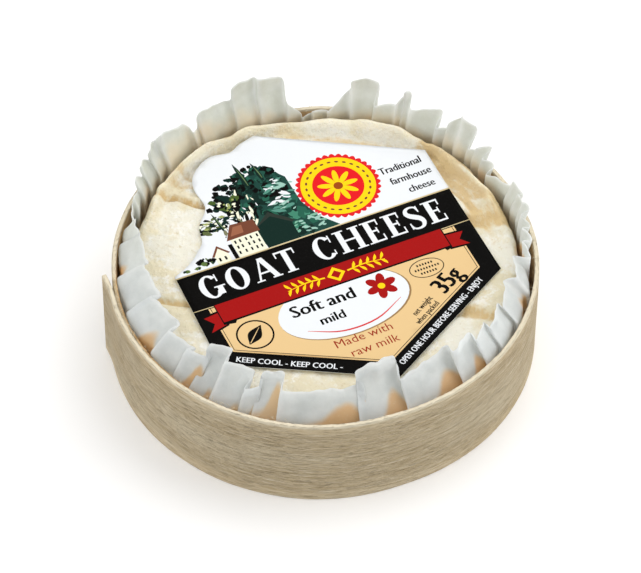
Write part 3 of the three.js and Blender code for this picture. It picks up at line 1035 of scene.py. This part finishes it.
def box(u, v, wide, high):
    """A rectangle from its lower left corner."""
    return [(u, v), (u + wide, v), (u + wide, v + high), (u, v + high)]


print(f"sheet {2 * LABEL_RADIUS:.1f} mm across its corners")

# %% [markdown]
# The title is set in capitals with serifs. A serif letter is a few strokes: thick stems, thin
# bars, slabs at their ends, and rounds that swell at the sides. Small words use the plain
# letters that come with Blender, turned into outlines.

# %% Letters
THICK, THIN, SLAB, SLAB_HALF = 0.2, 0.075, 0.055, 0.2


def stem(x, low=0.0, high=1.0, foot=True, head=True):
    """An upright stroke, with or without the slabs at its ends."""
    parts = [[(x - THICK / 2, low), (x + THICK / 2, low), (x + THICK / 2, high),
              (x - THICK / 2, high)]]
    if foot:
        parts.append(box(x - SLAB_HALF, low, 2 * SLAB_HALF, SLAB))
    if head:
        parts.append(box(x - SLAB_HALF, high - SLAB, 2 * SLAB_HALF, SLAB))
    return parts


def leg(x0, x1, width):
    """A sloping stroke from the foot line to the head line."""
    half = width / 2
    return [[(x0 - half, 0), (x0 + half, 0), (x1 + half, 1), (x1 - half, 1)]]


BOWL_MIDDLE, BOWL_WIDE, BOWL_HIGH, BOWL_THICK = 0.45, 0.4, 0.52, THICK * 1.1


def bowl(start, end):
    """Part of a round, from one angle to another, thick at the sides and thin at the top."""
    a = np.radians(np.linspace(start, end, 28))
    outer = np.c_[BOWL_MIDDLE + BOWL_WIDE * np.cos(a), 0.5 + BOWL_HIGH * np.sin(a)]
    inner = np.c_[BOWL_MIDDLE + (BOWL_WIDE - BOWL_THICK) * np.cos(a),
                  0.5 + (BOWL_HIGH - THIN) * np.sin(a)]
    return [np.vstack([outer, inner[::-1]])]


SPINE = [(0.55, 0.76), (0.5, 0.93), (0.34, 0.985), (0.17, 0.93), (0.11, 0.77), (0.2, 0.63),
         (0.34, 0.53), (0.49, 0.42), (0.56, 0.25), (0.48, 0.07), (0.3, 0.015), (0.13, 0.07),
         (0.07, 0.26)]
SPINE_WIDTHS = [0.05, 0.07, 0.08, 0.12, 0.17, 0.2, 0.21, 0.2, 0.17, 0.12, 0.08, 0.07, 0.05]
ARMS = [box(0.16, 1 - THIN, 0.46, THIN), box(0.56, 0.74, 0.05, 0.26)]
LETTERS = {
    "O": (0.92, bowl(0, 360)),
    "C": (0.86, bowl(42, 318) + [box(0.72, 0.66, 0.05, 0.32), box(0.72, 0.1, 0.04, 0.2)]),
    "G": (0.92, bowl(42, 330) + [box(0.72, 0.66, 0.05, 0.32)]
          + stem(0.74, 0.08, 0.46, foot=False)),
    "A": (0.9, leg(0.13, 0.43, THIN) + leg(0.79, 0.47, THICK) + [box(0.22, 0.3, 0.44, THIN)]
          + [box(0, 0, 0.3, SLAB), box(0.6, 0, 0.36, SLAB)]),
    "T": (0.76, stem(0.38, head=False) + [box(0.02, 1 - THIN, 0.72, THIN)]
          + [box(0.02, 0.74, 0.05, 0.26), box(0.69, 0.74, 0.05, 0.26)]),
    "H": (0.98, stem(0.2) + stem(0.78) + [box(0.2, 0.47, 0.58, THIN)]),
    "E": (0.72, stem(0.2) + ARMS + [box(0.16, 0, 0.48, THIN), box(0.59, 0, 0.05, 0.28)]
          + [box(0.2, 0.48, 0.3, THIN), box(0.46, 0.39, 0.05, 0.26)]),
    "S": (0.68, [stroke(SPINE, SPINE_WIDTHS, 3), box(0.53, 0.7, 0.05, 0.28),
                 box(0.05, 0.03, 0.05, 0.28)]),
    " ": (0.42, [])}


def title(text, u_from, u_to, foot, height, colour):
    """Words in serif capitals, spread evenly between two places."""
    gap = 0.07
    wide = sum(LETTERS[letter][0] + gap for letter in text) - gap
    stretch = (u_to - u_from) / wide
    x = u_from
    for letter in text:
        width, parts = LETTERS[letter]
        for part in parts:
            part = np.asarray(part, float)
            ink(colour, np.c_[x + part[:, 0] * stretch, foot + part[:, 1] * height])
        x += (width + gap) * stretch


CAPITAL = 0.73  # the height of a plain capital as Blender makes it


def words(text, u, v, height, colour, turn=0.0, squeeze=1.0, bold=0.0):
    """Plain letters. Their line starts at (u, v) and rises by turn degrees."""
    curve = bpy.data.curves.new("words", "FONT")
    curve.body, curve.resolution_u = text, 2
    source = bpy.data.objects.new("words", curve)
    mesh = bpy.data.meshes.new_from_object(source)
    places = np.array([v.co[:2] for v in mesh.vertices])
    uses = {}
    for face in mesh.polygons:
        for pair in face.edge_keys:
            uses[pair] = uses.get(pair, 0) + 1
    rim = np.array([pair for pair, count in uses.items() if count == 1])
    ends = places[rim].reshape(-1, 2) * [height / CAPITAL * squeeze, height / CAPITAL] + [u, v]
    for nudge in (-bold, bold) if bold else (0,):
        moved = turned_about(ends + [nudge * height, 0], u, v, turn)
        inks.append((moved.reshape(-1, 2, 2), colour))
    bpy.data.objects.remove(source)
    bpy.data.curves.remove(curve)
    bpy.data.meshes.remove(mesh)


print(f"{len(LETTERS) - 1} capitals drawn")

# %% [markdown]
# The sheet is a hexagon with one side cut along a wavy line. Black covers its lower part, with
# a cream panel, a white oval and a red ribbon on it.

# %% Fields, band, ribbon and panel
INK_BLACK, INK_WHITE = rgb(5, 4, 3), rgb(226, 229, 232)
INK_RED, INK_DARK_RED = rgb(157, 18, 17), rgb(150, 40, 22)
INK_CREAM, INK_GOLD, INK_YELLOW = rgb(221, 189, 137), rgb(206, 188, 144), rgb(250, 204, 20)
INK_BROWN, INK_LEAF, INK_DEEP = rgb(112, 66, 48), rgb(38, 92, 74), rgb(16, 40, 34)
INK_PALE_LEAF, INK_WALL = rgb(150, 190, 176), rgb(232, 232, 208)


def hexagon(radius, roof=99.0):
    """The hexagon's outline, cut level at a roof."""
    corners = [(radius * math.cos(math.radians(90 - 60 * k)),
                radius * math.sin(math.radians(90 - 60 * k))) for k in range(6)]
    outline = []
    for (u0, v0), (u1, v1) in zip(corners, corners[1:] + corners[:1]):
        if v0 <= roof:
            outline.append((u0, v0))
        if (v0 <= roof) != (v1 <= roof):
            share = (roof - v0) / (v1 - v0)
            outline.append((u0 + (u1 - u0) * share, roof))
    return outline


wavy = stroke([(u * LABEL_RADIUS, v * LABEL_RADIUS) for u, v in WAVY_SIDE], 0.0, 4)
wavy = wavy[:len(wavy) // 2]
sheet_outline = np.array(hexagon(LABEL_RADIUS)[:5] + [tuple(p) for p in wavy[:-1]])
ink(INK_BLACK, hexagon(40, roof=5.0))
ink(INK_GOLD, box(-30, 5.0, 60, 0.28))
ink(INK_GOLD, box(-30, -2.62, 60, 0.16))
ink(INK_CREAM, hexagon(25.2, roof=-2.8))
ink(INK_BLACK, hexagon(24.85, roof=-2.8), hexagon(24.72, roof=-2.8))
ink(rgb(150, 120, 80), oval(-1.35, -10.85, 11.35, 6.6, 48))
ink(INK_WHITE, oval(-1.5, -10.7, 11.2, 6.5, 48))
ink(rgb(205, 60, 60), stroke([(-9.2, -13.6), (-4, -15.9), (2, -15.8), (7.4, -13.2)],
                             [0.08, 0.3, 0.3, 0.08]))
ink(INK_BLACK, [(-23.8, -4.0), (-20.0, -3.6), (-20.0, -7.2), (-23.9, -8.3), (-22.6, -6.2)])
ink(INK_BLACK, [(19.2, -3.6), (23.4, -4.0), (22.2, -5.6), (23.4, -7.6), (19.2, -7.2)])
ink(INK_RED, [(-23.3, -4.4), (-20.2, -4.0), (-20.2, -6.9), (-23.3, -7.7), (-22.1, -6.1)])
ink(INK_RED, [(19.4, -4.0), (22.7, -4.3), (21.5, -5.7), (22.7, -7.2), (19.4, -6.8)])
ink(INK_BLACK, [(-20.8, -2.2), (19.7, -2.2), (19.7, -6.85), (18.6, -7.2), (18.4, -6.7),
                (-18.5, -6.7), (-18.9, -7.2), (-20.8, -6.85)])
ink(INK_RED, box(-20.6, -6.35, 40.1, 3.95))
title("GOAT CHEESE", -21.6, 22.2, -0.95, 4.9, INK_WHITE)
print(f"fields and title: {len(inks)} shapes")

# %% [markdown]
# On the ribbon lies a leafy sprig in yellow with a diamond at its middle. The oval holds a few
# plain words and a red flower. A ring with a leaf, a small oval with a pattern, the weight and
# short lines of small words fill the panel and the border.

# %% Ornaments and small words
ink(INK_YELLOW, [(-1.6, -4.4), (0, -2.75), (1.6, -4.4), (0, -6.0)],
    [(-0.9, -4.4), (0, -3.5), (0.9, -4.4), (0, -5.3)])
for side in (-1, 1):
    ink(INK_YELLOW, stroke([(side * 2.0, -4.4), (side * 5.2, -4.15), (side * 8.6, -4.6)],
                           [0.3, 0.22, 0.1]))
    for step in range(5):
        u = side * (2.9 + step * 1.25)
        for up in (-1, 1):
            tip = (u + side * 0.8, -4.35 + up * 1.35)
            mid = (u + side * 0.55, -4.35 + up * 0.7)
            ink(INK_YELLOW, stroke([(u, -4.35), mid, tip], [0.12, 0.5, 0.06], 3))
words("Soft and", -10.2, -10.2, 2.5, INK_BLACK, bold=0.04)
words("mild", -6.6, -13.4, 1.9, INK_BLACK, bold=0.04)
for petal in range(6):
    a = math.radians(60 * petal + 15)
    ink(INK_RED, oval(5.6 + 1.5 * math.cos(a), -9.7 + 1.5 * math.sin(a), 1.25, 0.75, 14,
                      60 * petal + 15))
ink(INK_YELLOW, oval(5.6, -9.7, 0.62, count=14))
ink(INK_BLACK, oval(-17.1, -10.7, 3.1, count=30), oval(-17.1, -10.7, 2.8, count=30))
ink(INK_BLACK, stroke([(-18.7, -12.3), (-17.2, -10.8), (-15.5, -9.2)], [0.2, 2.3, 0.1]))
ink(INK_CREAM, stroke([(-18.5, -12.1), (-17.2, -10.8), (-15.9, -9.5)], [0.12, 0.16, 0.05]))
ink(INK_BLACK, oval(13.9, -9.2, 3.0, 2.0, 30), oval(13.9, -9.2, 2.84, 1.84, 30))
for row, reach in ((-8.3, 1.4), (-9.2, 2.1), (-10.1, 1.4)):
    for u in np.arange(-reach, reach, 0.5):
        ink(INK_BLACK, box(13.9 + u, row - 0.2, 0.27, 0.44))
SMALL_WORDS = [  # the words, where they start, their height, ink, slope, width and boldness
    ("Made with", -6.6, -18.9, 1.75, INK_DARK_RED), ("raw milk", -5.0, -21.6, 1.75, INK_DARK_RED),
    ("35g", 14.1, -15.7, 3.5, INK_BLACK, 30, 0.8, 0.045),
    ("net weight", 7.9, -18.0, 1.15, INK_BLACK, 30, 0.7, 0.03),
    ("when packed", 7.6, -19.9, 1.15, INK_BLACK, 30, 0.68, 0.03),
    ("Traditional", 15.8, 12.3, 1.55, INK_BLACK, 0, 0.8, 0.035),
    ("farmhouse", 16.6, 9.6, 1.55, INK_BLACK, 0, 0.8, 0.035),
    ("cheese", 18.6, 6.9, 1.55, INK_BLACK, 0, 0.8, 0.035),
    ("KEEP COOL - KEEP COOL - ", -22.3, -14.7, 1.15, INK_WHITE, -30, 0.9, 0.03),
    ("OPEN ONE HOUR BEFORE SERVING - ENJOY", 1.6, -26.6, 1.15, INK_WHITE, 30, 0.72, 0.03)]
for line in SMALL_WORDS:
    words(*line)
print(f"with ornaments and small words: {len(inks)} shapes")

# %% [markdown]
# The round seal is a rosette: a scalloped red edge, a yellow ring with a row of dashes, and a
# yellow daisy on red.

# %% The seal
SEAL_U, SEAL_V, SEAL_RADIUS, SCALLOPS = 8.4, 13.1, 7.1, 36
a = np.arange(8 * SCALLOPS) * math.pi / (4 * SCALLOPS)
reach = SEAL_RADIUS - 0.5 + 0.5 * np.abs(np.sin(a * SCALLOPS / 2))
ink(rgb(214, 32, 38), np.c_[SEAL_U + reach * np.cos(a), SEAL_V + reach * np.sin(a)])
ink(INK_YELLOW, oval(SEAL_U, SEAL_V, 6.25, count=48))
for dot in range(26):
    a = dot * 2 * math.pi / 26
    ink(INK_BROWN, oval(SEAL_U + 5.3 * math.cos(a), SEAL_V + 5.3 * math.sin(a), 0.36, 0.2, 8,
                        math.degrees(a) + 90))
ink(rgb(218, 28, 34), oval(SEAL_U, SEAL_V, 4.3, count=40))
for petal in range(9):
    a = math.radians(40 * petal)
    ink(INK_YELLOW, oval(SEAL_U + 2.0 * math.cos(a), SEAL_V + 2.0 * math.sin(a), 1.5, 0.5, 12,
                         40 * petal))
ink(rgb(150, 70, 20), oval(SEAL_U, SEAL_V, 0.8, count=16))
print(f"with the seal: {len(inks)} shapes")

# %% [markdown]
# The picture is a wooded hillside with a farm, drawn the way a woodcut is: dark masses first,
# lighter leaves and pale breaks over them, then walls, roofs and window slits.

# %% The picture
LEAF_POINTS, LEAF_ROUGH, PICTURE_FOOT = 9, 0.35, 5.3


def leaf(u, v, wide, high, turn):
    """A ragged round patch, as a leaf mass is drawn."""
    a = np.arange(LEAF_POINTS) * 2 * math.pi / LEAF_POINTS
    reach = 1 + print_random.uniform(-LEAF_ROUGH, LEAF_ROUGH, LEAF_POINTS)
    points = np.c_[u + wide * reach * np.cos(a), v + high * reach * np.sin(a)]
    return turned_about(points, u, v, turn)


def thicket(count, u, v, wide, high, size, colours, stretch=1.0, lean=0.0):
    """Many ragged patches within an oval, in colours taken by chance."""
    lowest = PICTURE_FOOT + 0.5
    for _ in range(count):
        angle, share = print_random.uniform(0, 2 * math.pi), math.sqrt(print_random.uniform())
        du, dv = wide * share * math.cos(angle), high * share * math.sin(angle)
        spot = size * print_random.uniform(0.45, 1.25)
        colour = colours[print_random.integers(len(colours))]
        ink(colour, leaf(u + du + lean * dv, max(v + dv, lowest + spot * 0.6), spot * stretch,
                         spot / stretch, print_random.uniform(-35, 35)))


greens = [INK_DEEP, INK_BLACK, rgb(24, 62, 52), INK_LEAF]
slope = [(-7.5, 5.3), (-8.5, 11), (-9.2, 16.5), (-6.0, 20.6), (-1.6, 22.4), (1.2, 18.5),
         (1.4, 12.5), (2.8, 8.4), (5.2, 5.3)]
ink(rgb(30, 66, 58), slope)
thicket(90, -4.0, 16.0, 5.2, 6.8, 0.8, greens)
thicket(70, -4.2, 19.4, 4.8, 3.6, 0.5, [INK_BLACK, INK_DEEP, rgb(34, 78, 66)])
thicket(40, -8.2, 19.4, 3.2, 2.6, 0.45, [INK_BLACK, INK_DEEP])
thicket(26, -1.0, 8.4, 3.4, 3.0, 0.8, [INK_LEAF, rgb(64, 128, 104), INK_DEEP])
thicket(34, -1.2, 14.8, 2.8, 4.2, 0.5, [INK_PALE_LEAF, rgb(84, 140, 124), INK_WHITE], 1.7, 0.2)
thicket(20, 0.6, 7.6, 3.2, 1.8, 0.42, [INK_PALE_LEAF, rgb(120, 176, 150)], 1.5)
thicket(44, -9.8, 11.4, 2.8, 3.6, 0.55, [INK_BLACK, INK_DEEP, INK_WALL, INK_WHITE], 0.55)
thicket(34, -7.6, 15.0, 2.4, 3.4, 0.45, [INK_WALL, INK_WHITE, INK_BLACK], 0.5)
thicket(34, -10.6, 16.6, 2.8, 2.2, 0.7, [INK_DEEP, INK_BLACK, rgb(70, 90, 40)])
thicket(12, -9.8, 16.4, 2.2, 1.6, 0.35, [rgb(150, 160, 96), INK_WALL])
thicket(36, -13.6, 13.6, 3.8, 1.4, 0.5, [INK_DEEP, rgb(90, 100, 60), INK_BLACK], 1.6, 0.3)
thicket(20, -13.0, 13.9, 3.2, 1.0, 0.3, [INK_WALL, rgb(150, 160, 96), INK_WHITE], 1.5)
thicket(16, -11.4, 11.6, 2.6, 2.0, 0.34, [INK_BLACK, INK_DEEP, rgb(120, 120, 90)], 0.6)
for trunk_u, foot, tall, wide in ((-5.2, 18.6, 6.0, 0.75), (-2.4, 19.2, 4.4, 0.6),
                                  (-12.7, 11.8, 4.2, 0.4)):
    ink(INK_DEEP, stroke([(trunk_u, foot), (trunk_u - 0.1, foot + tall * 0.35),
                          (trunk_u - 0.3, foot + tall * 0.75), (trunk_u - 0.5, foot + tall)],
                         [wide * 0.8, wide * 1.3, wide * 0.8, 0.06]))
    ink(rgb(96, 120, 80), stroke([(trunk_u + 0.1, foot + 0.6), (trunk_u - 0.05, foot + tall / 2),
                                  (trunk_u - 0.3, foot + tall * 0.8)], [0.1, 0.22, 0.05]))
ink(INK_DEEP, [(-7.6, 5.3), (-7.6, 10.2), (-4.6, 12.2), (-1.8, 9.6), (-1.8, 5.3)])
ink(rgb(44, 52, 46), [(-8.0, 10.0), (-4.6, 12.6), (-1.2, 9.4), (-1.7, 9.0), (-4.6, 11.6)])
ink(INK_WALL, box(-12.6, 5.3, 4.9, 4.4))
ink(INK_BROWN, [(-13.2, 9.5), (-11.4, 12.6), (-7.4, 12.2), (-7.3, 9.5)])
ink(rgb(150, 96, 70), [(-12.2, 10.2), (-11.1, 12.0), (-9.6, 11.9), (-9.9, 10.2)])
for column in np.arange(5):
    for row in np.arange(3):
        lean = print_random.uniform(-0.1, 0.1)
        ink(INK_BLACK, box(-12.2 + column * 0.95 + lean, 6.0 + row * 1.2, 0.3, 0.7))
ink(INK_WALL, [(-16.4, 5.3), (-16.4, 7.4), (-15.2, 8.8), (-14.0, 7.4), (-14.0, 5.3)])
ink(INK_BROWN, [(-16.8, 7.2), (-15.2, 9.3), (-13.6, 7.2), (-14.0, 7.1), (-15.2, 8.7),
                (-16.4, 7.1)])
ink(INK_BLACK, box(-15.9, 5.9, 0.35, 0.8), box(-14.9, 5.9, 0.35, 0.8))
ink(INK_BLACK, box(-13.4, 5.3, 0.7, 3.4))
thicket(22, -18.0, 6.6, 1.9, 1.0, 0.42, [INK_DEEP, INK_BLACK, rgb(90, 110, 60)])
thicket(10, -20.8, 5.9, 1.6, 0.3, 0.3, [INK_DEEP, rgb(90, 110, 60)])
print(f"{len(inks)} shapes printed")

# %% [markdown]
# Now the press: all outlines go into one constrained triangulation with a grid of extra points,
# so that the sheet can bend. The point-in-outline test is one array sum for each shape.

# %% Cut the sheet and lay the inks
GRID_STEP, GRID_SHRINK = 1.1, 0.985
JOIN_WITHIN, LEAST_AREA = 1e-4, 1e-7
TEST_AT_ONCE = 4000


def inside(edges, spots):
    """Which spots have an odd number of the edges to their right."""
    hit = np.zeros(len(spots), bool)
    low, high = edges.min((0, 1)), edges.max((0, 1))
    near = np.nonzero(np.all((spots >= low) & (spots <= high), axis=1))[0]
    for few in np.array_split(near, len(near) // TEST_AT_ONCE + 1):
        u, v = spots[few, 0][:, None], spots[few, 1][:, None]
        a, b = edges[:, 0], edges[:, 1]
        spans = (a[:, 1] > v) != (b[:, 1] > v)
        rise = np.where(a[:, 1] == b[:, 1], 1, b[:, 1] - a[:, 1])
        cross = a[:, 0] + (v - a[:, 1]) / rise * (b[:, 0] - a[:, 0])
        hit[few] = np.count_nonzero(spans & (u < cross), axis=1) % 2 == 1
    return hit


sheet_edges = edges_of(sheet_outline)
all_edges = np.concatenate([sheet_edges] + [edges for edges, _ in inks])
steps = np.arange(-LABEL_RADIUS, LABEL_RADIUS, GRID_STEP)
grid = np.array([(u, v) for u in steps for v in steps])
grid = grid[inside(sheet_edges * GRID_SHRINK, grid)]
cut_points = [Vector(p) for p in np.concatenate([all_edges.reshape(-1, 2), grid])]
cut_edges = [(2 * i, 2 * i + 1) for i in range(len(all_edges))]
cut, _, triangles, *_ = delaunay_2d_cdt(cut_points, cut_edges, [], 0, JOIN_WITHIN)
flat = np.array([tuple(p) for p in cut])
triangles = np.array(triangles)
centres = flat[triangles].mean(1)
area = np.cross(flat[triangles[:, 1]] - flat[triangles[:, 0]],
                flat[triangles[:, 2]] - flat[triangles[:, 0]])
kept = inside(sheet_edges, centres) & (area > LEAST_AREA)
triangles, centres = triangles[kept], centres[kept]
used, numbers = np.unique(triangles, return_inverse=True)
flat, triangles = flat[used], numbers.reshape(-1, 3)
colour = np.tile(INK_WHITE, (len(triangles), 1))
for edges, tone in inks:
    colour[inside(edges, centres)] = tone
print(f"label of {len(triangles)} triangles")

# %% [markdown]
# The sheet is stiffer than the skin it lies on. It follows the cheese's dish but bridges the
# creases, and its corners lift where they meet the lip at the back.

# %% Lay the sheet on the cheese
LABEL_THICK = 0.09
turn = np.array([[math.cos(LABEL_TURN), math.sin(LABEL_TURN)],
                 [-math.sin(LABEL_TURN), math.cos(LABEL_TURN)]])
across = flat @ turn + [0, LABEL_SHIFT]
away = np.hypot(across[:, 0], across[:, 1])
direction = np.degrees(np.arctan2(across[:, 1], across[:, 0]))
label_height = CHEESE_TOP + 0.3 - DISH * (1 - smooth(away, 2, 26))
label_height += 0.1 * lip_height(direction) * smooth(away, 25.5, 29)
lip_under = lip_rise(direction, cheese_edge(direction)[0] - away)
label_height = np.maximum(label_height, CHEESE_TOP + 0.15 + lip_under)
label_height += 0.18 * np.sin(flat[:, 0] * 0.16 + 1) * smooth(away, 8, 24)
f = Finish("label_print")
printed = f.stored("ink", "Color")
tooth = f.noise(f.place, 3.0, 3, 0.6)
mottled = f.mix(printed, f.mix(printed, rgb(128, 128, 128), 0.06), tooth.between(0.5, 0.8) * 0.3)
label_print = f.done(f.surface({"Base Color": mottled, "Roughness": 0.5,
                                "Specular IOR Level": 0.04, "Normal": f.bump(tooth, 0.03, 0.3)}))
f = Finish("label_back")
tooth = f.noise(f.place, 2.0, 3, 0.6)
back_tone = f.mix(rgb(222, 222, 216), rgb(236, 236, 232), tooth)
label_back = f.done(f.surface({"Base Color": back_tone, "Roughness": 0.7}))
label = mesh_piece("printed_label", np.c_[across, label_height], triangles.tolist(),
                   label_print, label_back)
note(label, "ink", np.repeat(colour, 3, axis=0), "FLOAT_COLOR", "CORNER")
thickness = label.modifiers.new("thickness", "SOLIDIFY")
thickness.thickness, thickness.offset = LABEL_THICK * MM, -1
thickness.material_offset = thickness.material_offset_rim = 1  # the back's finish
print(f"label lies {label_height.min():.2f} to {label_height.max():.2f} mm up")

# %% [markdown]
# ## Into the frame
# Every piece is fixed in this object, so all ride the root. Each one names the imported piece
# that it stands for, which is hidden, and a material slot.

# %% Hand the pieces over
for piece, node, slot in ((band, "box_band", "veneer"), (rim_fibres, "box_band", "veneer"),
                          (disc, "box_base", "veneer"), (cheese, "cheese", "cheese_rind"),
                          (paper, "paper_cup", "greaseproof_paper"),
                          (label, "label", "printed_paper")):
    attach(piece, "root")
    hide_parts(node)
print("six pieces ride the root")
